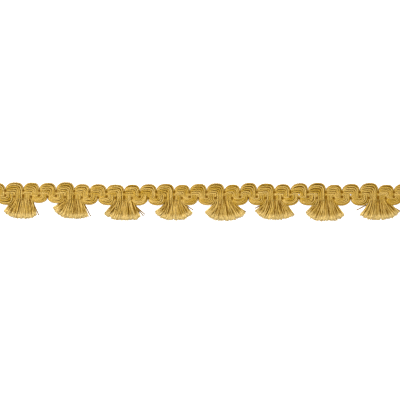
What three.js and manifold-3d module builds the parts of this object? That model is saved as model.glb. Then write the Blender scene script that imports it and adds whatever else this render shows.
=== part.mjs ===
// A cut length of scroll gimp trim with brush tassels, lying flat on its back. Millimetres.
// +X runs along the trim, +Y towards the heading's top edge, +Z up out of its face.
//
// The heading is a flat bundle of yarns that winds up and down as a row of scrolls. Warp
// chains along its back bind it. Every third lower scroll is drawn long and cut, and its
// two bundles of ends fan out as a tassel under a bound head.
import * as THREE from 'three';
import { mergeVertices } from 'three/addons/utils/BufferGeometryUtils.js';
import Module from 'manifold-3d';

const wasm = await Module();
wasm.setup();

// Heading: a straight of the bundle between two turns is a leg. The turns go round eyelets,
// and y = 0 is the line of the upper ones. An upper turn is fuller than an ellipse: its outer
// edge is a superellipse of power TOP_POWER. LEAN shears the upper scrolls towards +X.
const LEGS_PER_RUN = 6;
const LEG = 5;
const LOWER_EYELET_Y = -1.3;
const LOWER_DEPTH = 5.0;
const TOP_POWER = 2.7;
const EYELET = 0.3;
const SLIT = 0.3;
const LEAN = 0.018;
const LEG_END_Y = -2.5;
const CUT_END_Y = -2.2;
const TURN_STEPS = 6;

// Where the upper notches and lower pinches fall along a run, as shares of its length.
const PINCHES = [0, 0.155, 0.31, 0.4775, 0.645, 0.82, 1];

// Section of the bundle: four ribs, each of two yarns, over a flat back.
const RIBS = 4;
const RIB_TOP = 1.85;
const RIB_SAG = 0.35;
const GROOVE = 0.32;

// The band of warp chains on the back.
const WARP_Y = -0.65;
const WARP_WIDTH = 1.1;
const WARP_LOW = 0.12;
const WARP_HIGH = 0.7;
const WARP_INSET = 1.2;

// Tassels: a bound head across the two cut legs, and locks of yarn ends in two layers.
const HEAD_LEFT = 4.95;
const HEAD_RIGHT = 4.35;
const HEAD_TOP = -2.87;
const HEAD_BOTTOM = -3.9;
const HEAD_THICK = 1.9;
const HEAD_WAIST = 0.82;
const LOCK_STEPS = 3;
const LOCK_SUNK = 0.3;
const LOCK_ROOT = 0.42;
const LOCK_TIP = 1.05;
const LOCK_BEND = 1.5;
const CORNER_POWER = 3;
const LAYERS = [
  { locks: 7, low: 0, high: 0.8, reach: 1 },
  { locks: 5, low: 1.1, high: 0.75, reach: 0.93 },
];

// One row for each tassel: its slit's place along the trim, how far the trim is lifted there,
// the reach of its fan to each side and the drop of each corner, and the drop of its foot.
const TASSELS = [
  { x: -105.8, lift: 0.9, left: 11.8, leftDrop: 10.7, right: 8.6, rightDrop: 12.3, foot: 14.7 },
  { x: -75.4, lift: 0.5, left: 12.6, leftDrop: 9.6, right: 8.9, rightDrop: 12.7, foot: 14.5 },
  { x: -45.4, lift: 0, left: 12.0, leftDrop: 11.0, right: 11.1, rightDrop: 12.0, foot: 14.9 },
  { x: -15.5, lift: 0, left: 11.6, leftDrop: 10.0, right: 11.0, rightDrop: 10.7, foot: 14.8 },
  { x: 14.6, lift: 0, left: 11.5, leftDrop: 10.9, right: 12.2, rightDrop: 10.7, foot: 15.2 },
  { x: 44.6, lift: 0, left: 11.6, leftDrop: 10.0, right: 11.6, rightDrop: 12.0, foot: 14.5 },
  { x: 75.3, lift: 0, left: 12.1, leftDrop: 10.5, right: 11.1, rightDrop: 12.4, foot: 15.3 },
  { x: 106.6, lift: 0, left: 11.4, leftDrop: 11.2, right: 13.0, rightDrop: 10.3, foot: 14.7 },
];

// One row for each run of the heading between two slits: its first and last leg, and how
// high its three upper scrolls stand.
const RUNS = [
  { from: 2, to: 5, crests: [6.0, 6.0, 6.4] },
  { from: 0, to: 5, crests: [6.3, 6.3, 6.9] },
  { from: 0, to: 5, crests: [5.8, 6.0, 5.9] },
  { from: 0, to: 5, crests: [5.9, 6.2, 6.5] },
  { from: 0, to: 5, crests: [5.9, 6.4, 6.8] },
  { from: 0, to: 5, crests: [5.9, 7.0, 6.7] },
  { from: 0, to: 5, crests: [6.2, 6.8, 7.0] },
  { from: 0, to: 5, crests: [5.8, 6.3, 6.9] },
  { from: 0, to: 3, crests: [5.8, 6.4, 6.4] },
];
const END_RUN_LENGTH = 30.4;

const YARN = { color: 0xc09a4a, roughness: 0.78, metalness: 0 };
const TUFT = { color: 0xc8a454, roughness: 0.7, metalness: 0 };

// How far the trim is lifted towards +Y at x, in straight steps between the slits.
function liftAt(x) {
  const last = TASSELS.length - 1;
  if (x <= TASSELS[0].x) return TASSELS[0].lift;
  if (x >= TASSELS[last].x) return TASSELS[last].lift;
  const right = TASSELS.findIndex((row) => row.x >= x);
  const a = TASSELS[right - 1];
  const b = TASSELS[right];
  return THREE.MathUtils.mapLinear(x, a.x, b.x, a.lift, b.lift);
}

// The slits at the two ends of a run.
function runEnds(run) {
  const last = TASSELS.length - 1;
  const left = run > 0 ? TASSELS[run - 1].x : TASSELS[0].x - END_RUN_LENGTH;
  const right = run <= last ? TASSELS[run].x : TASSELS[last].x + END_RUN_LENGTH;
  return { left, right };
}

// Puts a point of a run, given by legs along and height, on the trim.
function onTrim(run, legs, y) {
  const { left, right } = runEnds(run);
  const leg = THREE.MathUtils.clamp(Math.floor(legs), 0, LEGS_PER_RUN - 1);
  const share = THREE.MathUtils.lerp(PINCHES[leg], PINCHES[leg + 1], legs - leg);
  const x = THREE.MathUtils.lerp(left, right, share);
  const above = Math.max(y, 0);
  return { x: x + LEAN * above * above, y: y + liftAt(x) };
}

// Height of the bundle's face at a share s of its width: an arch of ribs and grooves.
function faceHeight(index, count) {
  const s = index / count;
  if (index === 0 || index === count) return 0;
  const arch = RIB_TOP - RIB_SAG * (2 * s - 1) ** 2;
  return index % 2 === 1 ? arch : arch - GROOVE;
}

// A closed body through rings of equal point count, with flat ends. A ring's points run, on
// the upper side, from the left edge to the right edge as the path travels.
function loft(rings) {
  const count = rings[0].length;
  const positions = rings.flat().flatMap((p) => [p.x, p.y, p.z]);
  const index = [];
  for (let ring = 0; ring + 1 < rings.length; ring += 1) {
    for (let i = 0; i < count; i += 1) {
      const a = ring * count + i;
      const b = ring * count + ((i + 1) % count);
      index.push(a, b, a + count, b, b + count, a + count);
    }
  }
  const last = (rings.length - 1) * count;
  for (const [a, b, c] of endTriangles(rings[0])) index.push(c, b, a);
  for (const corners of endTriangles(rings[rings.length - 1])) {
    index.push(...corners.map((corner) => last + corner));
  }
  const geometry = new THREE.BufferGeometry();
  geometry.setAttribute('position', new THREE.Float32BufferAttribute(positions, 3));
  geometry.setIndex(index);
  return geometry;
}

// The triangles that fill an upright ring, each in the ring's own direction.
function endTriangles(ring) {
  const across = ring[1].clone().sub(ring[0]).setZ(0).normalize();
  const flat = ring.map((p) => new THREE.Vector2(p.clone().sub(ring[0]).dot(across), p.z));
  const direction = Math.sign(THREE.ShapeUtils.area(flat));
  return THREE.ShapeUtils.triangulateShape(flat, []).map(([a, b, c]) => {
    const same = Math.sign(THREE.ShapeUtils.area([flat[a], flat[b], flat[c]])) === direction;
    return same ? [a, b, c] : [a, c, b];
  });
}

function toSolid(geometry) {
  const merged = mergeVertices(geometry, 1e-5);
  const solid = new wasm.Manifold(new wasm.Mesh({
    numProp: 3,
    vertProperties: new Float32Array(merged.attributes.position.array),
    triVerts: new Uint32Array(merged.index.array),
  }));
  if (solid.volume() <= 0) throw new Error('a body is inside out');
  return solid;
}

function fromSolid(solid) {
  const mesh = solid.getMesh();
  const geometry = new THREE.BufferGeometry();
  geometry.setAttribute('position', new THREE.BufferAttribute(new Float32Array(mesh.vertProperties), 3));
  geometry.setIndex(new THREE.BufferAttribute(new Uint32Array(mesh.triVerts), 1));
  geometry.computeVertexNormals();
  return geometry;
}

// How low a leg reaches: to its turn, to a tassel's head, or to the trim's cut end.
function legFoot(run, number) {
  const { from, to } = RUNS[run];
  if (number !== from && number !== to) return LOWER_EYELET_Y;
  const cutEnd = (run === 0 && number === from) || (run === RUNS.length - 1 && number === to);
  return cutEnd ? CUT_END_Y : LEG_END_Y;
}

// The stations that the bundle passes along one run. Each turns a share s of its width,
// from its left edge to its right edge as it travels, into legs along and height.
function stations(run) {
  const { from, to, crests } = RUNS[run];
  const edge = SLIT / 2 / LEG;
  const width = 1 - 2 * edge;
  const list = [];
  for (let number = from; number <= to; number += 1) {
    const up = number % 2 === 0;
    const along = (s) => (up ? number + edge + s * width : number + 1 - edge - s * width);
    const foot = legFoot(run, number);
    for (const y of up ? [foot, 0] : [0, foot]) {
      list.push((s) => ({ legs: along(s), y }));
    }
    if (number === to) break;
    const hole = number + 1;
    for (let step = 1; step < TURN_STEPS; step += 1) {
      const angle = Math.PI * step / TURN_STEPS;
      list.push((s) => {
        const out = up ? 1 - s : s;
        const opened = EYELET / LEG * (1 - out) ** 3 * Math.sin(angle);
        const radius = edge + out * width + opened;
        const power = up ? THREE.MathUtils.lerp(2, TOP_POWER, out) : 2;
        const across = Math.sign(Math.cos(angle)) * Math.abs(Math.cos(angle)) ** (2 / power);
        const rise = radius * Math.sin(angle) ** (2 / power);
        const y = up ? crests[number / 2] * rise : LOWER_EYELET_Y - LOWER_DEPTH * rise;
        return { legs: hole - radius * across, y };
      });
    }
  }
  return list;
}

// One run of the bundle as a ribbed band on a flat back.
function bundle(run) {
  const count = 2 * RIBS;
  const rings = stations(run).map((place) => Array.from({ length: count + 1 }, (_, i) => {
    const { legs, y } = place(i / count);
    const at = onTrim(run, legs, y);
    return new THREE.Vector3(at.x, at.y, faceHeight(i, count));
  }));
  return toSolid(loft(rings));
}

// The warp chains: a flat band along the back that follows the trim's lift.
function warpBand() {
  const left = onTrim(0, RUNS[0].from, 0).x + WARP_INSET;
  const right = onTrim(RUNS.length - 1, RUNS[RUNS.length - 1].to + 1, 0).x - WARP_INSET;
  const places = [left, ...TASSELS.map((tassel) => tassel.x), right];
  const rings = places.map((x) => [[-1, WARP_LOW], [1, WARP_LOW], [1, WARP_HIGH], [-1, WARP_HIGH]]
    .map(([side, z]) => new THREE.Vector3(x, WARP_Y + liftAt(x) + side * WARP_WIDTH / 2, z)));
  return toSolid(loftAlongX(rings));
}

// The same body as loft makes, through rings that face along X.
function loftAlongX(rings) {
  const turned = rings.map((ring) => ring.map((p) => new THREE.Vector3(p.y, -p.x, p.z)));
  const geometry = loft(turned);
  geometry.rotateZ(Math.PI / 2);
  return geometry;
}

function makeHeading() {
  const runs = RUNS.map((_, run) => bundle(run));
  return fromSolid(runs.reduce((whole, piece) => whole.add(piece), warpBand()));
}

// A tassel's head: a rounded bar across the two legs, drawn in between them.
function tasselHead(tassel) {
  const profile = [[0, 0], [1, 0], [1, 0.75], [0.72, 1], [0.28, 1], [0, 0.75]];
  const shares = [-1, -0.9, -0.12, 0, 0.12, 0.9, 1];
  const swell = [0.8, 1, 1, HEAD_WAIST, 1, 1, 0.8];
  const rings = shares.map((share, i) => profile.map(([across, up]) => new THREE.Vector3(
    tassel.x + share * (share < 0 ? HEAD_LEFT : HEAD_RIGHT),
    tassel.lift + THREE.MathUtils.lerp(HEAD_BOTTOM, HEAD_TOP, across),
    up * HEAD_THICK * swell[i],
  )));
  return toSolid(loftAlongX(rings));
}

// One lock: three-sided, widening from its root in the head to its cut tip.
function lock(tassel, layer, side, number) {
  const share = (number + 0.5) / (layer.locks - 0.5);
  const reach = side < 0 ? tassel.left : tassel.right;
  const corner = side < 0 ? tassel.leftDrop : tassel.rightDrop;
  const half = (side < 0 ? HEAD_LEFT : HEAD_RIGHT) - LOCK_ROOT;
  const root = { x: side * share * half, y: HEAD_BOTTOM + LOCK_SUNK };
  const drop = tassel.foot - (tassel.foot - corner) * share ** CORNER_POWER;
  const tip = { x: side * share * reach * layer.reach, y: -drop * layer.reach };
  const path = (t) => new THREE.Vector2(
    root.x + (tip.x - root.x) * t ** LOCK_BEND,
    root.y + (tip.y - root.y) * t,
  );
  const rings = Array.from({ length: LOCK_STEPS + 1 }, (_, i) => {
    const t = i / LOCK_STEPS;
    const at = path(t);
    const along = path(Math.min(t + 0.05, 1)).sub(path(Math.max(t - 0.05, 0))).normalize();
    const wide = THREE.MathUtils.lerp(LOCK_ROOT, LOCK_TIP, t) / 2;
    return [[-1, 0], [1, 0], [0, 1]].map(([across, up]) => new THREE.Vector3(
      tassel.x + at.x - along.y * across * wide,
      tassel.lift + at.y + along.x * across * wide,
      layer.low + up * layer.high,
    ));
  });
  return toSolid(loft(rings));
}

function makeTassel(tassel) {
  let whole = tasselHead(tassel);
  for (const layer of LAYERS) {
    for (const side of [-1, 1]) {
      for (let number = 0; number < layer.locks; number += 1) {
        whole = whole.add(lock(tassel, layer, side, number));
      }
    }
  }
  return fromSolid(whole);
}

function node(name, geometry, finish) {
  const mesh = new THREE.Mesh(geometry, new THREE.MeshStandardMaterial(finish));
  mesh.name = name;
  return mesh;
}

const trim = new THREE.Group();
trim.add(node('heading', makeHeading(), YARN));
TASSELS.forEach((tassel, i) => trim.add(node(`tassel_${i + 1}`, makeTassel(tassel), TUFT)));

// The origin is the middle of the trim's outline, on the surface that it lies on.
const box = new THREE.Box3().setFromObject(trim);
const middle = box.getCenter(new THREE.Vector3());
trim.position.set(-middle.x, -middle.y, 0);

export default trim;
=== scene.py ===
"""Looks of a cut length of scroll gimp trim with brush tassels, lying flat on its back.

The heading is a flat bundle of plied yarns that winds up and down as a row of scrolls and
folds over at each turn. Fine warp threads bind it. At every third lower scroll the bundle is
cut, and its yarn ends fan out as a tassel. Lengths here are millimetres until a mesh is
written.
"""
import math

import bpy
import numpy as np
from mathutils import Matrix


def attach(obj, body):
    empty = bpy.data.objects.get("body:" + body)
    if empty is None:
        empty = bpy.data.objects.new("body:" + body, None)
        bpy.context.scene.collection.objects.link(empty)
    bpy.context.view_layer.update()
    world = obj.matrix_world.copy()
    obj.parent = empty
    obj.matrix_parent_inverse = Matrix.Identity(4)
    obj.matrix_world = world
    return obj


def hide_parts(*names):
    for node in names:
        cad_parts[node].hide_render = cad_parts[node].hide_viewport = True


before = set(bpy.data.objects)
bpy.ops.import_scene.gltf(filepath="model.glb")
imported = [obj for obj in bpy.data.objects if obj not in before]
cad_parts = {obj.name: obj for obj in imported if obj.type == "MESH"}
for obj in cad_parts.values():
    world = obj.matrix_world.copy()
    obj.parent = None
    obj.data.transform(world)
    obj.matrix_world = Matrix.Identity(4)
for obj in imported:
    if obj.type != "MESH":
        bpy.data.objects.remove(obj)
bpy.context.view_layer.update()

bl_info = {
    "name": "Scroll Gimp Tassel Trim",
    "version": (1, 0, 0),
    "blender": (4, 5, 0),
    "location": "View3D > Sidebar > Trim",
    "description": "Builds the yarns, tassels and finishes of a scroll gimp trim",
    "category": "Add Mesh",
}

MM = 0.001
SLOT_BRAID = "braid_yarn"
SLOT_TASSEL = "tassel_yarn"
UV_MAP = "Yarn"


def table(columns, *rows):
    """Rows of numbers whose columns are read by name."""
    return np.array(list(rows), dtype=[(name, float) for name in columns])


# The trim's own millimetres have y = 0 on the line of the upper eyelets. This point of them
# is the middle of the trim's outline, where the frame has its origin.
MIDDLE = (-0.284, -4.054)

# Heading: a straight of the bundle between two turns is a leg, and the turns go round eyelets.
# LEAN and LOWER_LEAN shear the upper and the lower scrolls along the trim, and LEAN_SIDES are
# the most that the lower ones take of it on the left and on the right of a run.
LEGS_PER_RUN = 6
LEG = 5.0
LOWER_EYELET_Y = -1.3
LEAN = 0.018
LOWER_LEAN = 0.04
LEAN_SIDES = (-0.5, 1)
LEG_END_Y = -3.3
CUT_END_Y = -2.2
PINCHES = (0, 0.155, 0.31, 0.4775, 0.645, 0.82, 1)
END_RUN_LENGTH = 30.4

# Where the heading is drawn in between its legs, and how wide such a recess is.
UPPER_RECESS_Y = 1.45
PINCH_RECESS_Y = -2.1
SLIT_RECESSES_Y = (-2.0, -2.7)
RECESS_WIDTH = 1.35

# One row for each tassel: its slit's place along the trim, how far the trim is lifted there,
# and the drop of its foot. Then, for each side of its fan, how far the corner reaches out and
# drops, and the power of the way down with which the strands go out.
TASSEL_COLUMNS = "x lift foot left left_drop left_bend right right_drop right_bend".split()
TASSELS = table(
    TASSEL_COLUMNS,
    (-105.8, 0.9, 14.7, 11.8, 10.7, 1.1, 7.8, 12.8, 0.7),
    (-75.4, 0.5, 14.5, 12.9, 8.3, 1.5, 8.4, 13.0, 1.05),
    (-45.4, 0, 14.9, 12.0, 11.0, 1.35, 9.7, 13.0, 0.85),
    (-15.5, 0, 14.8, 11.8, 10.0, 2.3, 11.0, 10.9, 1.3),
    (14.6, 0, 15.2, 11.6, 10.9, 1.75, 12.8, 10.6, 1.3),
    (44.6, 0, 14.5, 11.7, 9.6, 1.7, 11.8, 12.0, 0.98),
    (75.3, 0, 15.3, 12.1, 10.5, 1.5, 11.2, 12.4, 1.2),
    (106.6, 0, 14.7, 10.7, 11.6, 1.75, 13.0, 10.3, 1.1),
)

# One row for each run of the heading between two slits: its first and last leg, how high
# its three upper scrolls stand, how deep its lower ones hang below their eyelets, and how
# far the eyelet of the middle upper scroll stands open.
RUN_COLUMNS = ("first", "last", "crest_a", "crest_b", "crest_c", "depth", "middle_eyelet")
RUNS = table(
    RUN_COLUMNS,
    (2, 5, 6.0, 6.0, 6.4, 5.7, 0),
    (0, 5, 6.3, 6.3, 6.9, 4.4, 0),
    (0, 5, 5.8, 6.0, 5.9, 5.1, 0),
    (0, 5, 5.9, 6.2, 6.5, 5.1, 0),
    (0, 5, 5.9, 6.4, 6.8, 5.0, 0),
    (0, 5, 5.9, 7.0, 6.7, 5.0, 0),
    (0, 5, 6.2, 6.8, 7.0, 5.1, 0.7),
    (0, 5, 5.8, 6.3, 6.9, 5.2, 0.8),
    (0, 3, 5.8, 6.4, 6.4, 4.9, 0),
)

# Loose strands that stray from a tassel: its row, then where the strand leaves the tuft and
# where it ends, from the tassel's slit and the line of the upper eyelets.
STRAYS = table(
    ("tassel", "from_x", "from_y", "to_x", "to_y"),
    (0, 5.0, -4.6, 9.2, -13.4),
    (1, 4.9, -4.4, 9.9, -13.6),
    (1, -4.4, -4.6, -11.0, -8.4),
    (2, 4.3, -5.2, 12.4, -11.9),
    (2, 4.4, -5.0, 11.6, -13.0),
    (3, 4.2, -4.8, 11.4, -9.2),
    (4, 4.3, -5.2, 13.0, -10.4),
    (5, -4.8, -5.2, -11.9, -8.3),
    (5, 4.3, -5.0, 11.9, -12.2),
    (7, -4.6, -5.4, -12.9, -9.4),
    (7, 4.3, -4.8, 13.4, -9.9),
)


def length_setting(name, description, millimetres):
    """A length that a user may change."""
    kind = {"unit": "LENGTH", "subtype": "DISTANCE", "precision": 5}
    return bpy.props.FloatProperty(
        name=name, description=description, default=millimetres * MM, **kind
    )


def colour_setting(name, description, colour):
    """A colour that a user may change."""
    return bpy.props.FloatVectorProperty(
        name=name, description=description, default=colour, subtype="COLOR", size=3, min=0, max=1
    )


class TrimSizes(bpy.types.PropertyGroup):
    """Sizes and numbers of the yarns and threads."""

    yarn_radius: length_setting("Yarn radius", "Radius of one plied yarn of the heading", 0.52)
    yarns: bpy.props.IntProperty(
        name="Yarns", description="Yarns that lie side by side on the bundle", default=6, min=3
    )
    ply_lay: length_setting(
        "Ply lay", "Length in which the plies of a yarn turn once round each other", 4.4
    )
    thread_radius: length_setting("Thread radius", "Radius of the warp and binding threads", 0.085)
    strand_radius: length_setting(
        "Strand radius", "Radius of one combed-out strand of a tassel", 0.18
    )
    strands_per_yarn: bpy.props.IntProperty(
        name="Strands per yarn", description="Strands that a cut end opens into", default=18, min=1
    )
    loose_fibres: bpy.props.IntProperty(
        name="Loose fibres", description="Fine fibre ends on the heading", default=4200, min=0
    )


class TrimColours(bpy.types.PropertyGroup):
    """Colours of the yarns and of the surface that they lie on."""

    # Deep gold is painted shade; pale gold marks light fibre tones, painted highlights and painted
    # tip light.
    deep: colour_setting("Deep gold", "Colour in the grooves between plies", (0.135, 0.050, 0.001))
    gold: colour_setting("Mustard gold", "Main colour of the yarn", (0.44, 0.247, 0.005))
    pale: colour_setting(
        "Pale gold", "Colour of the fibres that catch the light", (0.83, 0.61, 0.22)
    )
    floor: colour_setting(
        "Floor", "Colour of the surface that the trim lies on", (0.62, 0.62, 0.61)
    )


def smooth_noise(rng, count, t, cycles, terms=4):
    """Rows of smooth noise of about unit size: each is a sum of sines of t with random phases.

    Term i has i times those cycles per unit of t, and a height from 0.5 / i to 1 / i.
    """
    orders = np.arange(1, terms + 1)[None, :, None]
    phases = rng.random((count, terms, 1)) * 2 * math.pi
    gains = rng.uniform(0.5, 1, (count, terms, 1)) / orders
    waves = gains * np.sin(2 * math.pi * cycles * orders * t[:, None, :] + phases)
    return waves.sum(axis=1)


def signed_power(values, power):
    """The sizes of the values raised to a power, with the values' own signs."""
    return np.sign(values) * np.abs(values) ** power


def lift_at(x):
    """How far the trim is lifted at x: a straight line between any two slits."""
    return np.interp(x, TASSELS["x"], TASSELS["lift"])


def on_trim(run, legs, y):
    """Places points given by legs along a run and height y on the trim.

    x is read from the table of pinches. A shear that grows as y squared leans the upper
    scrolls, and one that grows as the square of the depth below the lower eyelets leans
    the lower scrolls to the nearer tassel. Where the run's middle eyelet stands open with
    radius h, a point at distance r from it moves out to the square root of r squared plus
    h squared.
    """
    slits = TASSELS["x"]
    ends = [slits[0] - END_RUN_LENGTH, *slits, slits[-1] + END_RUN_LENGTH]
    left, right = ends[run : run + 2]
    share = np.interp(legs, np.arange(LEGS_PER_RUN + 1), PINCHES)
    x = left + share * (right - left)
    eyelet_x = left + PINCHES[LEGS_PER_RUN // 2] * (right - left)
    away = (x - eyelet_x) ** 2 + y**2 + 1e-4
    grow = np.sqrt(1 + RUNS["middle_eyelet"][run] ** 2 / away)
    x, y = eyelet_x + (x - eyelet_x) * grow, y * grow
    side = np.clip(legs - LEGS_PER_RUN / 2, *LEAN_SIDES)
    lean = LEAN * np.maximum(y, 0) ** 2
    lean = lean + LOWER_LEAN * side * np.minimum(y - LOWER_EYELET_Y, 0) ** 2
    return x + lean, y + lift_at(x)


def recesses(run):
    """Points (x, y) where the heading is drawn in, along one run.

    Neighbouring legs part at the foot of the notch between two upper scrolls and at the
    lower eyelet under it, at the pinch between two lower scrolls, and down a tassel's slit.
    """
    first, last = RUNS["first"][run], RUNS["last"][run]
    holes = np.arange(first, last + 2)
    notches = holes[holes % 2 == 0]
    pinches = holes[holes % 2 == 1]
    places = [(notches, UPPER_RECESS_Y), (notches, LOWER_EYELET_Y), (pinches, PINCH_RECESS_Y)]
    slits = notches[(notches == 0) | (notches == LEGS_PER_RUN)]
    places += [(slits, y) for y in SLIT_RECESSES_Y]
    points = [on_trim(run, legs, np.full(legs.shape, y)) for legs, y in places]
    return np.concatenate([np.stack(point, axis=1) for point in points])


def recess_depth(run, x, y):
    """1 at a recess of the run, and exp(-2 d d) at d RECESS_WIDTHs from the nearest one."""
    points = recesses(run)
    away = (x[..., None] - points[:, 0]) ** 2 + (y[..., None] - points[:, 1]) ** 2
    return np.exp(-away.min(axis=-1) / RECESS_WIDTH**2 * 2)


class Bundle:
    """The route of the bundle's core along one run, as functions of a phase.

    The phase counts half waves. Its whole part is the leg, counted from the run's first, and
    its fraction goes up or down the leg and then round the turn to the next one.
    """

    LEG_SHARE = 0.15
    TOP_POWER = 2.8
    LOW_POWER = 2.3
    LOWER_OPENING = 0.25

    def __init__(self, run):
        self.run = run
        row = RUNS[run]
        self.first = int(row["first"])
        self.last = int(row["last"])
        self.crests = np.array([row[name] for name in RUN_COLUMNS[2:5]])
        self.depth = row["depth"]
        self.phase_end = self.last - self.first + self.LEG_SHARE
        self.first_foot = CUT_END_Y if run == 0 else LEG_END_Y
        self.last_foot = CUT_END_Y if run == len(RUNS) - 1 else LEG_END_Y

    def leg_at(self, phase):
        """The leg at that phase, the phase's fraction, and y on the leg: a straight between
        the line of the upper eyelets and the leg's foot."""
        step = np.clip(np.floor(phase), 0, self.last - self.first)
        leg = self.first + step
        foot = np.where(leg == self.last, self.last_foot, LOWER_EYELET_Y)
        foot = np.where(leg == self.first, self.first_foot, foot)
        along = np.clip((phase - step) / self.LEG_SHARE, 0, 1)
        return leg, phase - step, foot * np.where(leg % 2 == 0, 1 - along, along)

    def crest_at(self, leg):
        """Height of the upper scroll that a leg belongs to."""
        return self.crests[np.clip(leg // 2, 0, len(self.crests) - 1).astype(int)]

    def place(self, phase, share):
        """Point (x, y) at that phase and that share of the bundle's width, from the edge that
        is left on the legs going up.

        On a leg, x is fixed by the share and y runs straight. Round a turn both follow a
        superellipse about the eyelet, which grows to the outer edge. Round a lower turn the
        inner yarns stand out by up to LOWER_OPENING, which keeps the eyelet open.
        """
        leg, part, leg_y = self.leg_at(phase)
        up = leg % 2 == 0
        out = np.where(up, 1 - share, share)
        leg_x = np.where(up, leg + share, leg + 1 - share)
        angle = math.pi * np.clip((part - self.LEG_SHARE) / (1 - self.LEG_SHARE), 0, 1)
        power = np.where(up, 2 / (2 + (self.TOP_POWER - 2) * out), 2 / self.LOW_POWER)
        across = signed_power(np.cos(angle), power)
        rise = np.sin(angle) ** power
        opened = np.where(up, 0, self.LOWER_OPENING / LEG) * (1 - out) ** 3 * np.sin(angle)
        height = (out + opened) * rise
        turn_y = np.where(up, self.crest_at(leg) * height, LOWER_EYELET_Y - self.depth * height)
        turn_x = leg + 1 - (out + opened) * across
        turning = part > self.LEG_SHARE
        legs = np.where(turning, turn_x, leg_x)
        return on_trim(self.run, legs, np.where(turning, turn_y, leg_y))


class Ribbon(Bundle):
    """The route of the yarns on the bundle's face, which folds over at each turn.

    A yarn runs along a leg on the face, then passes behind the yarns that turn before it,
    comes round the left edge of the scroll at a height that grows with its share, runs
    nearly level to the middle of the scroll and bends round its right half.
    """

    LEG_SHARE = 0.12
    FOLD_SHARE = 0.26
    FOLD_ANGLE = 0.42
    WIDE = 0.99
    FACE_Z = 1.30
    LEVEL_Z = 1.42
    LEVEL_ANGLE = 1.9
    BEHIND_Z = 0.85
    DIVE_LEAD, DIVE_LENGTH = 0.03, 0.06
    RISE_LAG, RISE_LENGTH = 0.02, 0.04
    DIVING_SHARE = 3

    def place(self, phase, share):
        """Point (x, y, z) at that phase and that share of the bundle's width.

        In the turn, y follows a superellipse about the eyelet, of height growing with the
        share. Its half width is nearly a leg on the left, and grows with the share on the
        right. z falls to BEHIND_Z where the leg ends, less far near the bundle's left edge,
        and rises again where the fold ends.
        """
        leg, part, leg_y = self.leg_at(phase)
        up = leg % 2 == 0
        level = np.where(up, 0, LOWER_EYELET_Y)
        height = np.where(up, self.crest_at(leg), -self.depth)
        power = np.where(up, 2 / self.TOP_POWER, 2 / self.LOW_POWER)

        turn = np.clip((part - self.FOLD_SHARE) / (1 - self.FOLD_SHARE), 0, 1)
        angle = self.FOLD_ANGLE + (math.pi - self.FOLD_ANGLE) * turn
        across = signed_power(np.cos(angle), power)
        half_width = np.where(angle < math.pi / 2, self.WIDE, share)
        turn_x = leg + 1 - half_width * across
        turn_y = level + height * share * np.sin(angle) ** power

        fold_x = leg + 1 - self.WIDE * math.cos(self.FOLD_ANGLE) ** power
        fold_y = level + height * share * math.sin(self.FOLD_ANGLE) ** power
        hidden = np.clip((part - self.LEG_SHARE) / (self.FOLD_SHARE - self.LEG_SHARE), 0, 1)
        leg_x = leg + share
        behind_x = leg_x + (fold_x - leg_x) * hidden
        behind_y = level + (fold_y - level) * hidden

        stages = [(part <= self.LEG_SHARE) | (leg == self.last), part < self.FOLD_SHARE]
        legs = np.select(stages, [leg_x, behind_x], turn_x)
        y = np.select(stages, [leg_y, behind_y], turn_y)
        dive = np.clip((part - self.LEG_SHARE + self.DIVE_LEAD) / self.DIVE_LENGTH, 0, 1)
        rise = np.clip((self.FOLD_SHARE + self.RISE_LAG - part) / self.RISE_LENGTH, 0, 1)
        dive = np.minimum(dive, rise) * np.clip(self.DIVING_SHARE * share, 0, 1)
        dive = dive * (leg < self.last)
        level_part = (part > self.FOLD_SHARE) & (angle < self.LEVEL_ANGLE)
        face = np.where(level_part, self.LEVEL_Z, self.FACE_Z)
        x, y = on_trim(self.run, legs, y)
        return x, y, face + (self.BEHIND_Z - face) * dive


def path_axes(centres):
    """Unit vectors along each path, level across it, and square to both."""
    along = np.gradient(centres, axis=1)
    along /= np.linalg.norm(along, axis=2, keepdims=True) + 1e-12
    level = np.stack([-along[..., 1], along[..., 0], 0 * along[..., 0]], axis=2)
    level /= np.linalg.norm(level, axis=2, keepdims=True) + 1e-12
    return along, level, np.cross(along, level)


def even_paths(centres, points, soften):
    """The paths smoothed over that many of their points and cut into points of even spacing."""
    padded = np.pad(centres, ((0, 0), (soften, soften), (0, 0)), mode="edge")
    sums = np.cumsum(padded, axis=1)
    smooth = (sums[:, 2 * soften :] - sums[:, : -2 * soften]) / (2 * soften)
    smooth[:, 0], smooth[:, -1] = centres[:, 0], centres[:, -1]
    length = path_lengths(smooth)
    wanted = np.linspace(0, length[:, -1], points, axis=1)
    return np.stack(
        [
            np.stack([np.interp(want, at, line) for line in row.T], axis=1)
            for want, at, row in zip(wanted, length, smooth)
        ]
    )


def path_lengths(centres):
    """Length along each path up to each of its points."""
    steps = np.linalg.norm(np.diff(centres, axis=1), axis=2)
    return np.concatenate([np.zeros((len(centres), 1)), np.cumsum(steps, axis=1)], axis=1)


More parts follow.
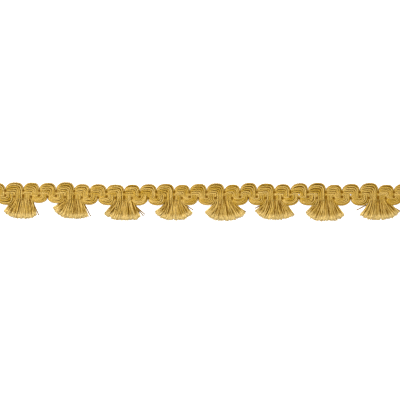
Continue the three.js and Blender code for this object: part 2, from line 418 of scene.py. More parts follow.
def tube_mesh(centres, radii, sides, plies=1, groove=0.0, turn=0.0):
    """Vertices (N, M, sides, 3) of closed tubes, and their point attributes. The radii r are
    a number or an array (N, M).

    A ring stands square to its path and is turned by the angle turn. Its radius is
    r (1 - g (1 - |cos n a / 2|)) at angle a, which is n round plies with grooves of depth
    g r between them. The layer "crest" is that cosine, "crown" is 1 where the ring faces
    up and 0 where it faces down, and "tone" is a middle one.
    """
    _, level, upright = path_axes(centres)
    angle = (np.arange(sides) + 0.5) * 2 * math.pi / sides
    crest = np.abs(np.cos(plies * angle / 2)) if plies > 1 else np.ones(sides)
    turned = angle + np.broadcast_to(turn, centres.shape[:2])[..., None]
    radius = np.broadcast_to(radii, centres.shape[:2])[..., None] * (1 - groove * (1 - crest))
    ring = np.cos(turned)[..., None] * level[:, :, None]
    ring = ring + np.sin(turned)[..., None] * upright[:, :, None]
    layers = {"crest": crest, "crown": 0.5 + 0.5 * ring[..., 2], "tone": 0.5}
    return centres[:, :, None, :] + radius[..., None] * ring, layers


def show_lower_halves(layers):
    """Gives the lower halves of tubes the colours of the upper ones: the layer of painted recess
    shade fades out below a tube's sides, and "crown", which sets the painted side shade, becomes
    the larger of itself and 1 less itself."""
    layers["painted_shade"] = layers["painted_shade"] * np.clip(2 * layers["crown"], 0, 1)
    layers["crown"] = np.maximum(layers["crown"], 1 - layers["crown"])


def tube_faces(tubes, rings, sides):
    """Corners of the faces of closed tubes, the faces' sizes, and 1 at each corner that
    ends a round of the UV map.

    Quads join each ring to the next and one polygon closes each end.
    """
    index = np.arange(tubes * rings * sides).reshape(tubes, rings, sides)
    after = np.roll(index, -1, axis=2)
    quads = np.stack([index[:, :-1], after[:, :-1], after[:, 1:], index[:, 1:]], axis=3)
    quads = quads.reshape(-1, 4)
    ends = [index[:, 0, ::-1].ravel(), index[:, -1].ravel()]
    corners = np.concatenate([quads.ravel(), *ends]).astype(np.int32)
    sizes = np.repeat([4, sides], [len(quads), 2 * tubes])
    round_ends = (after == index[:, :, :1])[:, :-1].reshape(-1, 1)
    wraps = np.zeros(len(corners))
    wraps[: quads.size].reshape(-1, 4)[:, 1:3] += round_ends
    return corners, sizes, wraps


def lay_tubes(name, vertices, layers, material, slot, *nodes):
    """A piece of closed tubes from vertices (N, M, S, 3) in the trim's millimetres.

    layers holds numbers or arrays (N, M, S) written as point attributes. The UV map runs
    along the tube in millimetres and once round it. The piece rides on the part and
    stands for the solids of those nodes.
    """
    shape = vertices.shape[:3]
    corners, sizes, wraps = tube_faces(*shape)
    mesh = bpy.data.meshes.new(name)
    mesh.vertices.add(math.prod(shape))
    placed = (vertices - [*MIDDLE, 0]) * MM
    mesh.vertices.foreach_set("co", placed.astype(np.float32).ravel())
    mesh.loops.add(len(corners))
    mesh.loops.foreach_set("vertex_index", corners)
    mesh.polygons.add(len(sizes))
    starts = (np.cumsum(sizes) - sizes).astype(np.int32)
    mesh.polygons.foreach_set("loop_start", starts)
    mesh.polygons.foreach_set("use_smooth", np.ones(len(sizes), dtype=bool))
    mesh.update(calc_edges=True)
    for layer, values in layers.items():
        attribute = mesh.attributes.new(layer, "FLOAT", "POINT")
        full = np.broadcast_to(values, shape)
        attribute.data.foreach_set("value", full.astype(np.float32).ravel())
    length = path_lengths(vertices.mean(axis=2))
    u = np.broadcast_to(length[:, :, None], shape).ravel()[corners]
    v = np.broadcast_to(np.arange(shape[2]) / shape[2], shape).ravel()[corners] + wraps
    uv = mesh.uv_layers.new(name=UV_MAP)
    uv.data.foreach_set("uv", np.stack([u, v], axis=1).astype(np.float32).ravel())
    mesh.validate()
    piece = bpy.data.objects.new(name, mesh)
    bpy.context.collection.objects.link(piece)
    mesh.materials.append(material)
    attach(piece, "root")
    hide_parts(*nodes)


class Yarns:
    """Where the yarns on the face of one run's bundle lie."""

    TOUCH = 0.52
    WOBBLE = 0.14
    WOBBLE_CYCLES = 0.7
    LIFT_WOBBLE = 0.06
    LIFT_CYCLES = 0.9
    SHARE_LIMITS = (0.03, 0.95)
    STEADY_RIM = 8
    DIP = 0.55
    DENSE = 260
    SOFTEN = 4
    SEED = 100
    NOISE_SEED = 500

    def __init__(self, run, sizes):
        self.ribbon = Ribbon(run)
        self.count = sizes.yarns
        self.radius = sizes.yarn_radius / MM
        rng = np.random.default_rng(self.SEED + run)
        edge = self.radius * self.TOUCH / LEG
        self.share = np.linspace(edge, 1 - edge, self.count)[:, None]
        self.tone = rng.random(self.count)
        self.ply_start = rng.random(self.count) * 2 * math.pi

    def points(self, phase):
        """Centres (N, M, 3) of the yarns at their phases (N, M). Smooth noise moves each
        yarn a little, less near the bundle's right rim, and recesses press it down."""
        rng = np.random.default_rng(self.NOISE_SEED + self.ribbon.run)
        move = smooth_noise(rng, self.count, phase, self.WOBBLE_CYCLES)
        steady = np.minimum(1, self.STEADY_RIM * (1 - self.share))
        share = self.share + self.WOBBLE / LEG * move * steady
        x, y, z = self.ribbon.place(phase, np.clip(share, *self.SHARE_LIMITS))
        z = z - self.DIP * recess_depth(self.ribbon.run, x, y)
        z += self.LIFT_WOBBLE * smooth_noise(rng, self.count, phase, self.LIFT_CYCLES)
        return np.stack([x, y, np.maximum(z, self.radius)], axis=2)

    def paths(self, step):
        """Centres of the yarns along the whole run, about that step apart."""
        dense = int(self.ribbon.phase_end * self.DENSE)
        phase = np.linspace(0, self.ribbon.phase_end, dense)
        centres = self.points(np.broadcast_to(phase, (self.count, dense)))
        points = int(path_lengths(centres)[:, -1].mean() / step)
        return even_paths(centres, points, self.SOFTEN)

    def feet(self, phase, rise):
        """Where the yarns stand at one phase: those of the face, and as many under them that
        start higher by that rise."""
        face = self.points(np.full((self.count, 1), phase))[:, 0]
        under = face * [1, 1, 0] + [0, rise, self.radius]
        return np.concatenate([face, under])


class TRIM_OT_heading(bpy.types.Operator):
    """Lays the plied yarns of the heading, with painted shade in its recesses and at the rim, one
    piece for each run
    """

    bl_idname = "trim.heading"
    bl_label = "Heading yarns"

    RING_STEP = 0.24
    SIDES = 9
    PLIES = 3
    GROOVE = 0.22
    RIM_SHARE = 0.9
    RIM_SHADE = 0.4

    def execute(self, context):
        sizes = context.scene.trim_sizes
        material = yarn_material("braid yarn", context)
        for run in range(len(RUNS)):
            yarns = Yarns(run, sizes)
            centres = yarns.paths(self.RING_STEP)
            turn = 2 * math.pi * path_lengths(centres) / (sizes.ply_lay / MM)
            turn += yarns.ply_start[:, None]
            yarn = (yarns.radius, self.SIDES, self.PLIES, self.GROOVE, turn)
            vertices, layers = tube_mesh(centres, *yarn)
            layers["tone"] = yarns.tone[:, None, None]
            # Painted shade darkens the yarns near each recess, and the outermost yarn by
            # RIM_SHADE.
            recess = recess_depth(run, vertices[..., 0], vertices[..., 1])
            rim = (yarns.share > self.RIM_SHARE)[:, :, None]
            layers["painted_shade"] = np.maximum(recess, self.RIM_SHADE * rim)
            show_lower_halves(layers)
            name = f"heading_yarns_{run + 1}"
            lay_tubes(name, vertices, layers, material, SLOT_BRAID, "heading")
        return {"FINISHED"}


class TRIM_OT_core(bpy.types.Operator):
    """Lays soft core yarns side by side in the middle of the bundle"""

    bl_idname = "trim.core"
    bl_label = "Core yarns"

    SHARES = (0.09, 0.23, 0.37, 0.5, 0.63, 0.77, 0.91)
    HEIGHT = 0.62
    RADIUS = 0.62
    RINGS = 130
    SIDES = 9
    PLIES = 3
    GROOVE = 0.12
    SHADE = 0.75

    def execute(self, context):
        material = yarn_material("core yarn", context)
        parts = []
        for run in range(len(RUNS)):
            bundle = Bundle(run)
            phase = np.linspace(0, bundle.phase_end, self.RINGS)
            x, y = bundle.place(phase, np.array(self.SHARES)[:, None])
            parts.append(np.stack([x, y, np.full(x.shape, self.HEIGHT)], axis=2))
        centres = np.concatenate(parts)
        turn = 2 * math.pi * path_lengths(centres) / (context.scene.trim_sizes.ply_lay / MM)
        yarn = (self.RADIUS, self.SIDES, self.PLIES, self.GROOVE, turn)
        vertices, layers = tube_mesh(centres, *yarn)
        # The core's upper half gets painted shade, which keeps the gaps between the face yarns
        # dark.
        layers["painted_shade"] = self.SHADE
        show_lower_halves(layers)
        lay_tubes("heading_core", vertices, layers, material, SLOT_BRAID, "heading")
        return {"FINISHED"}


class TRIM_OT_warp(bpy.types.Operator):
    """Twines pairs of fine warp threads through the legs of the heading"""

    bl_idname = "trim.warp"
    bl_label = "Warp threads"

    ROWS = (0.4, -0.2, -0.8)
    MIDDLE_Z = 0.93
    SWING = 0.78
    SIDE_SWING = 0.06
    FLATNESS = 0.45
    INSET = 0.04
    RINGS_PER_LEG = 16
    SIDES = 6

    def execute(self, context):
        """A thread's height swings with a sine of the legs, flattened by a power, so that it
        goes over one leg and under the next, and its twin does the opposite."""
        material = yarn_material("warp thread", context)
        last = len(RUNS) - 1
        row = np.repeat(self.ROWS, 2)[:, None]
        way = np.tile([1, -1], len(self.ROWS))[:, None]
        parts = []
        for run in range(len(RUNS)):
            first_leg = RUNS["first"][run] + self.INSET * (run == 0)
            last_leg = RUNS["last"][run] + 1 - self.INSET * (run == last)
            steps = round((last_leg - first_leg) * self.RINGS_PER_LEG)
            legs = np.linspace(first_leg, last_leg, steps, endpoint=run == last)
            x, y = on_trim(run, legs, row)
            y = y + self.SIDE_SWING * way * np.cos(math.pi * legs)
            wave = signed_power(np.sin(math.pi * legs) * way, self.FLATNESS)
            parts.append(np.stack([x, y, self.MIDDLE_Z + self.SWING * wave], axis=2))
        centres = np.concatenate(parts, axis=1)
        radius = context.scene.trim_sizes.thread_radius / MM
        vertices, layers = tube_mesh(centres, radius, self.SIDES)
        lay_tubes("warp_threads", vertices, layers, material, SLOT_BRAID, "heading")
        return {"FINISHED"}


class Tuft:
    """The yarn ends of one cut leg, opened into strands that fan out: high ones from the
    yarns of the face, and as many low ones that fill the fan under them."""

    ROOT_SPREAD = 0.29
    LOW_SPREAD = 0.25
    CLOSING = 0.5
    FLATTENING = 0.3
    UNTWIST = 2.2
    ORDER_JITTER = 0.3
    FIRST_SHARE = 0.015
    LOW_FIRST_SHARE = -0.05
    CORNER_POWER = 3.0
    SINKING_POWER = 1.2
    WAVE = 0.1
    WAVE_CYCLES = 0.55
    LOCKS = 8
    LOCK_ROWS = LOCKS + 3
    LOCK_WAVE = 0.26
    LOCK_WAVE_CYCLES = 0.5
    LOCK_CROSSING = 0.022
    GATHERED = 0.8
    GAP_SHARPNESS = 1.5
    LOW_EDGE = 7
    LOW_EDGE_SHADE = 0.15
    STREAK_SHADE = 0.87
    STREAK_POWER = 5
    CROSSING = 0.012
    FAR_CROSSING = 0.1
    FAR_ODDS = 0.15
    LOW_CROSSING = 0.004
    STILL_SLIT = 6
    LOW_RISE = 1.6
    LOW_WIDTH = 1.45
    LENGTH_JITTER = 0.032
    LOW_TIP_Z = 0.30
    HIGH_TIP_Z = 0.85
    TIP_Z_JITTER = (-0.12, 0.25)
    TONES = (0.25, 0.35, 0.4)
    RINGS = 11
    SEED = 900

    def __init__(self, row, side, sizes):
        """The tuft on the left (side -1) or right (side 1) of the slit of a row's tassel."""
        self.tassel = TASSELS[row]
        self.side = side
        names = TASSEL_COLUMNS[3:6] if side < 0 else TASSEL_COLUMNS[6:9]
        self.reach, self.corner, self.bend = (self.tassel[name] for name in names)
        run = row if side < 0 else row + 1
        yarns = Yarns(run, sizes)
        phase = yarns.ribbon.phase_end if side < 0 else 0.0
        self.roots = yarns.feet(phase, self.LOW_RISE) - [self.tassel["x"], self.tassel["lift"], 0]
        self.tone = np.tile(yarns.tone, 2)
        self.count = len(self.roots)
        self.per_yarn = sizes.strands_per_yarn
        self.radius = sizes.strand_radius / MM
        self.rng = np.random.default_rng(self.SEED + 2 * row + (side > 0))

    def shares(self, outward, high):
        """Each strand's share of the fan, 0 at the slit and 1 at the corner: the high and the
        low strands each fill the whole fan, in the order of their roots."""
        share = np.zeros(len(outward))
        for layer in (high, ~high):
            jitter = self.rng.uniform(0, self.ORDER_JITTER, layer.sum())
            order = np.argsort(outward[layer] + jitter)
            place = np.empty(len(order))
            place[order] = (np.arange(len(order)) + 0.5) / len(order)
            share[layer] = place
        return share

    def gather(self, share, high):
        """Shares drawn together into locks, each strand's lock, and how deep (1) it lies, which
        sets its painted shade.

        A sine with LOCKS periods, taken from the share, crowds high strands into locks. Each
        lock then steps aside, and each strand by itself, a few of them far. High strands lie deep
        between two locks, and low ones all over but at the corner: there painted shade stands in
        for the shade under the strands above.
        """
        rng = self.rng
        shift = rng.random()
        in_lock = 2 * math.pi * (self.LOCKS * share + shift)
        lock = np.floor(self.LOCKS * share + shift + 0.5).astype(int)
        share = share - self.GATHERED * high * np.sin(in_lock) / (2 * math.pi * self.LOCKS)
        aside = self.LOCK_CROSSING * rng.normal(0, 1, self.LOCK_ROWS)[lock]
        share = share + aside * high * np.clip(self.STILL_SLIT * share, 0, 1)
        between = np.clip(-self.GAP_SHARPNESS * np.cos(in_lock), 0, 1)
        under = np.clip(self.LOW_EDGE * (1 - share), self.LOW_EDGE_SHADE, 1)
        far = rng.random(len(share)) < self.FAR_ODDS
        crossing = np.where(far, self.FAR_CROSSING, self.CROSSING)
        crossing = np.where(high, crossing, self.LOW_CROSSING)
        share = share + crossing * rng.normal(0, 1, len(share))
        share = np.clip(share, np.where(high, self.FIRST_SHARE, self.LOW_FIRST_SHARE), 1.0)
        return share, lock, np.where(high, between, under)

    def tips(self, share, high):
        """Tips (N, 3) of the strands, near the fan's outline, which drops from its corner
        to its foot by a power of the share."""
        lost = (self.tassel["foot"] - self.corner) * np.abs(share) ** self.CORNER_POWER
        drop = self.tassel["foot"] - lost
        length = 1 + self.rng.normal(0, self.LENGTH_JITTER, len(share))
        x = self.side * share * self.reach * np.where(high, length, 1)
        z = np.where(high, self.HIGH_TIP_Z, self.LOW_TIP_Z)
        z = z + self.rng.uniform(*self.TIP_Z_JITTER, len(share))
        return np.stack([x, -drop * length, z], axis=1)

    def strands(self):
        """Centres (N, RINGS, 3) of the strands from the slit, with their tones, their shares
        t of the way to the tips, their painted shades and relative widths.

        A strand goes straight down while its sideways step grows as a power of t. Round its
        yarn's centre it keeps a place that turns and closes in. Smooth noise moves each
        high strand and each lock. The painted shade fades as 1 less a power of t.
        """
        rng = self.rng
        yarns = np.repeat(np.arange(self.count), self.per_yarn)
        number = np.tile(np.arange(self.per_yarn), self.count)
        around = 2 * math.pi * number / max(self.per_yarn - 1, 1) + rng.random(len(yarns))
        high = yarns < self.count / 2
        spread = np.where(high, self.ROOT_SPREAD, self.LOW_SPREAD) * (number > 0)
        outward = self.roots[:, 0] * self.side
        share = self.shares(outward[yarns], high)
        root = self.roots[yarns]
        side_by_side = self.side * np.interp(share, [0, 1], [outward.min(), outward.max()])
        root[:, 0] = np.where(high, root[:, 0], side_by_side)
        share, lock, depth = self.gather(share, high)
        way = self.tips(share, high) - root
        t = np.linspace(0, 1, self.RINGS)[None, :]
        x = root[:, :1] + way[:, :1] * t**self.bend
        y = root[:, 1:2] + way[:, 1:2] * t
        z = root[:, 2:] + way[:, 2:] * t**self.SINKING_POWER
        wave = smooth_noise(rng, len(yarns), t, self.WAVE_CYCLES, 3)
        lock_wave = smooth_noise(rng, self.LOCK_ROWS, t, self.LOCK_WAVE_CYCLES, 2)
        turned = around[:, None] + self.UNTWIST * t
        x = x + spread[:, None] * np.cos(turned) * (1 - self.CLOSING * t)
        x = x + self.WAVE * t * wave * high[:, None]
        x = x + self.LOCK_WAVE * t * lock_wave[lock] * high[:, None]
        z = z + spread[:, None] * np.sin(turned) * (1 - self.FLATTENING * t)
        width = np.where(high, 1, self.LOW_WIDTH)[:, None] + np.zeros_like(x)
        z = np.maximum(z, self.radius * width)
        base, of_yarn, of_strand = self.TONES
        tone = base + of_yarn * self.tone[yarns] + of_strand * rng.random(len(yarns))
        shade = self.STREAK_SHADE * depth[:, None] * (1 - t**self.STREAK_POWER)
        return np.stack([x, y, z], axis=2), tone, np.broadcast_to(t, x.shape), shade, width


class TRIM_OT_tassels(bpy.types.Operator):
    """Fans the cut yarn ends out into brush tassels, one piece for each tassel"""

    bl_idname = "trim.tassels"
    bl_label = "Brush tassels"

    SIDES = 4
    TIP_SHARE = 0.85
    # PALE_TIPS paints the light that shines through the thin strand ends.
    PALE_TIPS = 0.9
    SLIT_WIDTH = 0.5
    SLIT_END_Y = -11.0
    SLIT_SHADE = 0.9
    STRAY_POWER = 1.15
    STRAY_Z = (0.9, 0.4)
    # Strays get a low tone and painted shade, which stand in for their shadows.
    STRAY_TONE, STRAY_SHADE, STRAY_WIDTH = 0.1, 0.7, 1.9

    def slit_shade(self, vertices, tassel):
        """Painted shade in the slit between a tassel's two tufts: a narrow band that fades down.
        """
        x = vertices[..., 0] - tassel["x"]
        y = vertices[..., 1] - tassel["lift"]
        band = np.exp(-((x / self.SLIT_WIDTH) ** 2))
        fade = np.clip((y - self.SLIT_END_Y) / (LEG_END_Y - self.SLIT_END_Y), 0, 1)
        return self.SLIT_SHADE * band * fade

    def strays(self, row):
        """What a tuft gives of its strands, for the single ones that stray from one tassel:
        shallow arcs, whose drop grows as a power of the way."""
        rows = STRAYS[STRAYS["tassel"] == row][:, None]
        t = np.linspace(0, 1, Tuft.RINGS)
        x = rows["from_x"] + (rows["to_x"] - rows["from_x"]) * t
        y = rows["from_y"] + (rows["to_y"] - rows["from_y"]) * t**self.STRAY_POWER
        plain = np.zeros_like(x)
        z = np.interp(t, [0, 1], self.STRAY_Z) + plain
        tone = plain[:, 0] + self.STRAY_TONE
        shade, width = plain + self.STRAY_SHADE, plain + self.STRAY_WIDTH
        return np.stack([x, y, z], axis=2), tone, plain, shade, width

    def execute(self, context):
        sizes = context.scene.trim_sizes
        material = yarn_material("tassel yarn", context, self.PALE_TIPS)
        for row, tassel in enumerate(TASSELS):
            parts = [Tuft(row, side, sizes).strands() for side in (-1, 1)]
            parts.append(self.strays(row))
            centres, tones, along, shades, widths = map(np.concatenate, zip(*parts))
            centres = centres + [tassel["x"], tassel["lift"], 0]
            radii = sizes.strand_radius / MM * widths * (1 - (1 - self.TIP_SHARE) * along)
            vertices, layers = tube_mesh(centres, radii, self.SIDES, turn=math.pi / 4)
            layers["tone"] = tones[:, None, None]
            layers["end"] = along[:, :, None]
            # Painted shade darkens the slit and the strands that lie deep in the fan.
            slit = self.slit_shade(vertices, tassel)
            layers["painted_shade"] = np.maximum(slit, shades[:, :, None])
            show_lower_halves(layers)
            # The square root widens the lit crown and narrows the painted side shade.
            layers["crown"] = np.sqrt(layers["crown"])
            name = f"tassel_strands_{row + 1}"
            lay_tubes(name, vertices, layers, material, SLOT_TASSEL, f"tassel_{row + 1}")
        return {"FINISHED"}


class TRIM_OT_bindings(bpy.types.Operator):
    """Winds a fine thread round the two legs above each tassel"""

    bl_idname = "trim.bindings"
    bl_label = "Head bindings"

    TURNS = 3
    TOP_Y = -2.95
    PITCH = 0.24
    HALF_WIDTH = 4.8
    HALF_HEIGHT = 0.74
    MIDDLE_X = -0.1
    MIDDLE_Z = 0.95
    SIDE_POWER = 0.6
    TOP_POWER = 0.4
    PRESSED = 0.16
    PRESSED_WIDTH = 0.45
    RINGS_PER_TURN = 56
    SIDES = 6
    SHADE = 0.5

    def execute(self, context):
        """A helix round a flat superellipse, pressed in where it crosses the slit."""
        material = yarn_material("binding thread", context)
        angle = np.linspace(0, 2 * math.pi * self.TURNS, self.TURNS * self.RINGS_PER_TURN)
        across = signed_power(np.cos(angle), self.SIDE_POWER)
        up = signed_power(np.sin(angle), self.TOP_POWER)
        slit = np.exp(-((across * self.HALF_WIDTH / self.PRESSED_WIDTH) ** 2))
        pressed = 1 - self.PRESSED * slit
        x = TASSELS["x"][:, None] + self.MIDDLE_X + across * self.HALF_WIDTH
        y = TASSELS["lift"][:, None] + self.TOP_Y - self.PITCH * angle / (2 * math.pi)
        z = self.MIDDLE_Z + up * self.HALF_HEIGHT * pressed
        centres = np.stack(np.broadcast_arrays(x, y, z), axis=2)
        radius = context.scene.trim_sizes.thread_radius / MM
        vertices, layers = tube_mesh(centres, radius, self.SIDES)
        layers["painted_shade"] = self.SHADE
        solids = [f"tassel_{row + 1}" for row in range(len(TASSELS))]
        lay_tubes("head_bindings", vertices, layers, material, SLOT_TASSEL, *solids)
        return {"FINISHED"}


class TRIM_OT_fibres(bpy.types.Operator):
    """Sets fine loose fibres on the yarns of the heading"""

    bl_idname = "trim.fibres"
    bl_label = "Loose fibres"

    STEP = 0.5
    AROUND = (-0.5, math.pi + 0.5)
    ROOTED = 0.85
    LENGTHS = (0.7, 1.8)
    LIFTS = (0.02, 0.15)
    DRIFTS = (-0.5, 0.5)
    RADIUS = 0.022
    TAPER = 0.5
    RINGS = 5
    SIDES = 3
    # PALE_TIPS paints the light that shines through the thin fibre ends.
    PALE_TIPS = 0.6
    SEED = 77

    def execute(self, context):
        """Each fibre runs along a yarn, lifts off it by a share of its own length and drifts
        to one side as the square of the way."""
        sizes = context.scene.trim_sizes
        material = yarn_material("loose fibre", context, self.PALE_TIPS)
        rng = np.random.default_rng(self.SEED)
        starts = []
        for run in range(len(RUNS)):
            yarns = Yarns(run, sizes)
            centres = yarns.paths(self.STEP)
            along, level, upright = path_axes(centres)
            number = sizes.loose_fibres // len(RUNS)
            pick = tuple(rng.integers(0, most, number) for most in centres.shape[:2])
            angle = rng.uniform(*self.AROUND, number)[:, None]
            out = np.cos(angle) * level[pick] + np.sin(angle) * upright[pick]
            root = centres[pick] + out * yarns.radius * self.ROOTED
            starts.append((root, along[pick], out))
        root, along, out = (np.concatenate(part)[:, None, :] for part in zip(*starts))
        count = len(root)
        length = rng.uniform(*self.LENGTHS, (count, 1, 1))
        way = rng.choice([-1.0, 1.0], (count, 1, 1))
        lift = rng.uniform(*self.LIFTS, (count, 1, 1))
        t = np.linspace(0, 1, self.RINGS)[None, :, None]
        drift = np.cross(along, out) * rng.uniform(*self.DRIFTS, (count, 1, 1))
        centres = root + length * (along * way * t + out * lift * t**1.5 + drift * t**2)
        centres[..., 2] = np.maximum(centres[..., 2], self.RADIUS)
        radii = self.RADIUS * (1 - self.TAPER * t[..., 0])
        vertices, layers = tube_mesh(centres, radii, self.SIDES)
        layers["tone"] = rng.random((count, 1, 1))
        layers["end"] = t
        lay_tubes("loose_fibres", vertices, layers, material, SLOT_BRAID, "heading")
        return {"FINISHED"}


class TRIM_OT_stage(bpy.types.Operator):
    """Makes the pale floor, the soft lights and the camera above the trim"""

    bl_idname = "trim.stage"
    bl_label = "Floor, lights and camera"

    VIEW_WIDTH = 240.0
    VIEW_MIDDLE = (0.0, -3.24)
    LENS = 100.0
    SENSOR = 36.0
    FLOOR_SIZE = 3.0
    FLOOR_Z = -0.00005
    FLOOR_GLOW = 1.6
    SKY = 0.22
    LAMPS = (
        ("key", (-0.28, 0.34, 0.85), 0.45, 11.8),
        ("fill", (0.45, -0.25, 0.85), 0.6, 3.4),
    )

    def make_floor(self, context):
        """A pale plane just under the trim, which the camera alone sees glow."""
        bpy.ops.mesh.primitive_plane_add(size=self.FLOOR_SIZE, location=(0, 0, self.FLOOR_Z))
        floor = context.active_object
        floor.name = "floor"
        material = bpy.data.materials.new("pale floor")
        material.use_nodes = True
        tree = material.node_tree
        shader = tree.nodes["Principled BSDF"]
        colour = (*context.scene.trim_colours.floor, 1)
        set_inputs(shader, Base_Color=colour, Roughness=0.9, Specular_IOR_Level=0.1)
        set_inputs(shader, Emission_Color=colour)
        seen = tree.nodes.new("ShaderNodeLightPath").outputs["Is Camera Ray"]
        glow = math_node(tree, "MULTIPLY", seen, self.FLOOR_GLOW)
        tree.links.new(glow, shader.inputs["Emission Strength"])
        floor.data.materials.append(material)

    def make_lights(self, context):
        """A dim even sky, and the lamps, each turned to face the origin."""
        world = bpy.data.worlds.new("soft room")
        world.use_nodes = True
        sky = world.node_tree.nodes["Background"]
        set_inputs(sky, Color=(1, 1, 1, 1), Strength=self.SKY)
        context.scene.world = world
        for name, place, size, power in self.LAMPS:
            light = bpy.data.lights.new(name, "AREA")
            light.size = size
            light.energy = power
            lamp = bpy.data.objects.new(name, light)
            lamp.location = place
            turn = math.atan2(-place[1], -place[0])
            tilt = math.atan2(math.hypot(place[0], place[1]), place[2])
            lamp.rotation_euler = (tilt, 0, turn - math.pi / 2)
            context.collection.objects.link(lamp)

    def make_camera(self, context):
        """A camera straight above that sees VIEW_WIDTH millimetres of the trim."""
        camera = bpy.data.cameras.new("camera")
        camera.lens = self.LENS
        camera.sensor_width = self.SENSOR
        eye = bpy.data.objects.new("camera", camera)
        distance = self.VIEW_WIDTH * MM * self.LENS / self.SENSOR
        middle = [(self.VIEW_MIDDLE[i] - MIDDLE[i]) * MM for i in range(2)]
        eye.location = (*middle, distance)
        context.collection.objects.link(eye)
        context.scene.camera = eye
        context.scene.view_settings.view_transform = "Standard"

    def execute(self, context):
        self.make_floor(context)
        self.make_lights(context)
        self.make_camera(context)
        return {"FINISHED"}


def add_sockets(tree, way, kind, *names):
    """Names inputs or outputs of one kind of a shader group."""
    for name in names:
        tree.interface.new_socket(name, in_out=way, socket_type=f"NodeSocket{kind}")


def set_inputs(node, **values):
    """Sets a node's inputs. An underscore in a name here is a space in the input's name."""
    for name, value in values.items():
        node.inputs[name.replace("_", " ")].default_value = value


def math_node(tree, operation, *values):
    """A Math node. Each value is a number or a socket to read."""
    node = tree.nodes.new("ShaderNodeMath")
    node.operation = operation
    for socket, value in zip(node.inputs, values):
        if isinstance(value, (int, float)):
            socket.default_value = value
        else:
            tree.links.new(value, socket)
    return node.outputs["Value"]


def range_node(tree, value, low, high, to_low=0.0, to_high=1.0):
    """A smooth Map Range node from low..high to to_low..to_high."""
    node = tree.nodes.new("ShaderNodeMapRange")
    node.interpolation_type = "SMOOTHSTEP"
    tree.links.new(value, node.inputs["Value"])
    set_inputs(node, From_Min=low, From_Max=high, To_Min=to_low, To_Max=to_high)
    return node.outputs["Result"]


def mix_node(tree, factor, first, second):
    """A colour Mix node. Its two colour sockets are the inputs 6 and 7 and its output 2."""
    node = tree.nodes.new("ShaderNodeMix")
    node.data_type = "RGBA"
    tree.links.new(factor, node.inputs["Factor"])
    tree.links.new(first, node.inputs[6])
    tree.links.new(second, node.inputs[7])
    return node.outputs[2]


def noise_node(tree, vector, scale, detail, stretch=(1, 1, 1)):
    """A Noise Texture on a vector that is stretched first."""
    mapping = tree.nodes.new("ShaderNodeMapping")
    set_inputs(mapping, Scale=stretch)
    tree.links.new(vector, mapping.inputs["Vector"])
    noise = tree.nodes.new("ShaderNodeTexNoise")
    set_inputs(noise, Scale=scale, Detail=detail)
    tree.links.new(mapping.outputs["Vector"], noise.inputs["Vector"])
    return noise.outputs["Fac"]


# The shader of the fibres: its noises, how much each of three things lightens it, what it
# reads as low and high, and how much the streaks add to which roughness. In a range of four
# numbers the last two are what these become.
STREAK_STRETCH = (0.9, 14.0, 1.0)
PATCH_SCALE = 260.0
STREAK_LIGHT = 0.30
PATCH_LIGHT = 0.18
TONE_LIGHT = 0.42
STREAK_RANGE = (0.38, 0.68)
PATCH_RANGE = (0.35, 0.65)
# PLY_RANGE, SIDE_RANGE and the range after them set painted shade; END_RANGE and END_SHOWN set
# painted light at cut ends.
PLY_RANGE = (0.0, 0.5, 0.35, 1.0)
SIDE_RANGE = (0.55, 0.98)
PAINTED_SHADE_RANGE = (0.2, 1.0, 1.0, 0.1)
END_RANGE = (0.66, 1.0)
END_SHOWN = 0.75
ROUGHNESS = (0.25, 0.55)
PLY_HEIGHT = 0.3


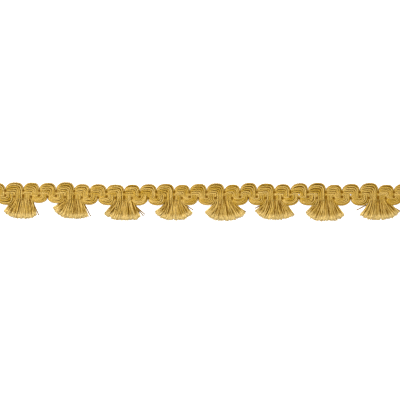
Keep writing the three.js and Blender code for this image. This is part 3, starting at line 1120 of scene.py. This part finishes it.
def fibre_group():
    """Shared shader group: colour and height of spun fibres.

    Fine streaks run along the strand's own map. Slow noise over the object shades the dye.
    Painted shade makes the grooves between plies, the strand's sides and its recesses deep;
    its crests are pale, a painted highlight, and its cut end is paler still with painted light
    that shines through it.
    """
    known = bpy.data.node_groups.get("Spun fibres")
    if known:
        return known
    tree = bpy.data.node_groups.new("Spun fibres", "ShaderNodeTree")
    add_sockets(tree, "INPUT", "Vector", "Strand", "Place")
    add_sockets(tree, "INPUT", "Float", "Crest", "Crown", "Tone", "Painted_Shade", "End", "Pale Ends")
    add_sockets(tree, "INPUT", "Color", "Deep", "Gold", "Pale")
    add_sockets(tree, "OUTPUT", "Color", "Color")
    add_sockets(tree, "OUTPUT", "Float", "Roughness", "Height")
    read = tree.nodes.new("NodeGroupInput").outputs
    give = tree.nodes.new("NodeGroupOutput").inputs
    streaks = noise_node(tree, read["Strand"], 1.0, 4.0, STREAK_STRETCH)
    patches = noise_node(tree, read["Place"], PATCH_SCALE, 2.0)
    streak_light = range_node(tree, streaks, *STREAK_RANGE)
    patch_light = range_node(tree, patches, *PATCH_RANGE)
    light = math_node(tree, "MULTIPLY", streak_light, STREAK_LIGHT)
    light = math_node(tree, "MULTIPLY_ADD", patch_light, PATCH_LIGHT, light)
    light = math_node(tree, "MULTIPLY_ADD", read["Tone"], TONE_LIGHT, light)
    # Painted shade in the grooves between plies.
    painted_groove_shade = range_node(tree, read["Crest"], *PLY_RANGE)
    # Painted shade on a strand's sides, where it faces neither up nor down.
    painted_side_shade = range_node(tree, read["Crown"], *SIDE_RANGE)
    # Painted shade in recesses, the slit, at the rim and on strands that lie under others.
    painted_recess_shade = range_node(tree, read["Painted_Shade"], *PAINTED_SHADE_RANGE)
    unshaded = math_node(tree, "MULTIPLY", painted_groove_shade, painted_side_shade)
    unshaded = math_node(tree, "MULTIPLY", unshaded, painted_recess_shade)
    # Painted light that shines through the thin cut ends, strongest at the tip.
    end = range_node(tree, read["End"], *END_RANGE)
    painted_tip_light = math_node(tree, "MULTIPLY", end, read["Pale Ends"])
    # Painted highlight: the fibre tones lighten the body where it is unshaded, and the painted tip
    # light adds on.
    light = math_node(tree, "MULTIPLY_ADD", light, unshaded, painted_tip_light)
    light.node.use_clamp = True
    body = mix_node(tree, light, read["Gold"], read["Pale"])
    end_shown = math_node(tree, "MULTIPLY", painted_tip_light, END_SHOWN)
    unshaded = math_node(tree, "MAXIMUM", unshaded, end_shown)
    colour = mix_node(tree, unshaded, read["Deep"], body)
    roughness = math_node(tree, "MULTIPLY_ADD", streaks, *ROUGHNESS)
    height = math_node(tree, "MULTIPLY_ADD", read["Crest"], PLY_HEIGHT, streaks)
    for name, socket in (("Color", colour), ("Roughness", roughness), ("Height", height)):
        tree.links.new(socket, give[name])
    return tree


def yarn_material(name, context, pale_tips=0.0):
    """A soft, slightly shiny yarn: every strand in its own tone, streaked with fibres."""
    colours = context.scene.trim_colours
    material = bpy.data.materials.new(name)
    material.use_nodes = True
    tree = material.node_tree
    link = tree.links.new
    shader = tree.nodes["Principled BSDF"]
    set_inputs(shader, Specular_IOR_Level=0.04)
    group = tree.nodes.new("ShaderNodeGroup")
    group.node_tree = fibre_group()
    for shade in ("deep", "gold", "pale"):
        group.inputs[shade.title()].default_value = (*getattr(colours, shade), 1)
    set_inputs(group, Pale_Ends=pale_tips)
    uv = tree.nodes.new("ShaderNodeUVMap")
    uv.uv_map = UV_MAP
    link(uv.outputs["UV"], group.inputs["Strand"])
    place = tree.nodes.new("ShaderNodeTexCoord")
    link(place.outputs["Object"], group.inputs["Place"])
    for layer in ("crest", "crown", "tone", "painted_shade", "end"):
        reader = tree.nodes.new("ShaderNodeAttribute")
        reader.attribute_name = layer
        link(reader.outputs["Fac"], group.inputs[layer.title()])
    bump = tree.nodes.new("ShaderNodeBump")
    set_inputs(bump, Distance=0.00008, Strength=0.7)
    link(group.outputs["Height"], bump.inputs["Height"])
    link(bump.outputs["Normal"], shader.inputs["Normal"])
    link(group.outputs["Color"], shader.inputs["Base Color"])
    link(group.outputs["Roughness"], shader.inputs["Roughness"])
    return material


STEPS = (
    TRIM_OT_stage,
    TRIM_OT_heading,
    TRIM_OT_core,
    TRIM_OT_warp,
    TRIM_OT_bindings,
    TRIM_OT_tassels,
    TRIM_OT_fibres,
)


class TRIM_PT_panel(bpy.types.Panel):
    """Lists the steps of the trim with its sizes and colours"""

    bl_idname = "TRIM_PT_panel"
    bl_label = "Scroll gimp trim"
    bl_space_type = "VIEW_3D"
    bl_region_type = "UI"
    bl_category = "Trim"

    def draw(self, context):
        for settings in (context.scene.trim_sizes, context.scene.trim_colours):
            for name in settings.bl_rna.properties.keys():
                if name not in ("rna_type", "name"):
                    self.layout.prop(settings, name)
        for step in STEPS:
            self.layout.operator(step.bl_idname)


CLASSES = (TrimSizes, TrimColours, *STEPS, TRIM_PT_panel)


def register():
    for cls in CLASSES:
        bpy.utils.register_class(cls)
    bpy.types.Scene.trim_sizes = bpy.props.PointerProperty(type=TrimSizes)
    bpy.types.Scene.trim_colours = bpy.props.PointerProperty(type=TrimColours)


def unregister():
    del bpy.types.Scene.trim_colours
    del bpy.types.Scene.trim_sizes
    for cls in reversed(CLASSES):
        bpy.utils.unregister_class(cls)


def main():
    register()
    for step in STEPS:
        getattr(bpy.ops.trim, step.bl_idname.partition(".")[2])()


if __name__ == "__main__":
    main()
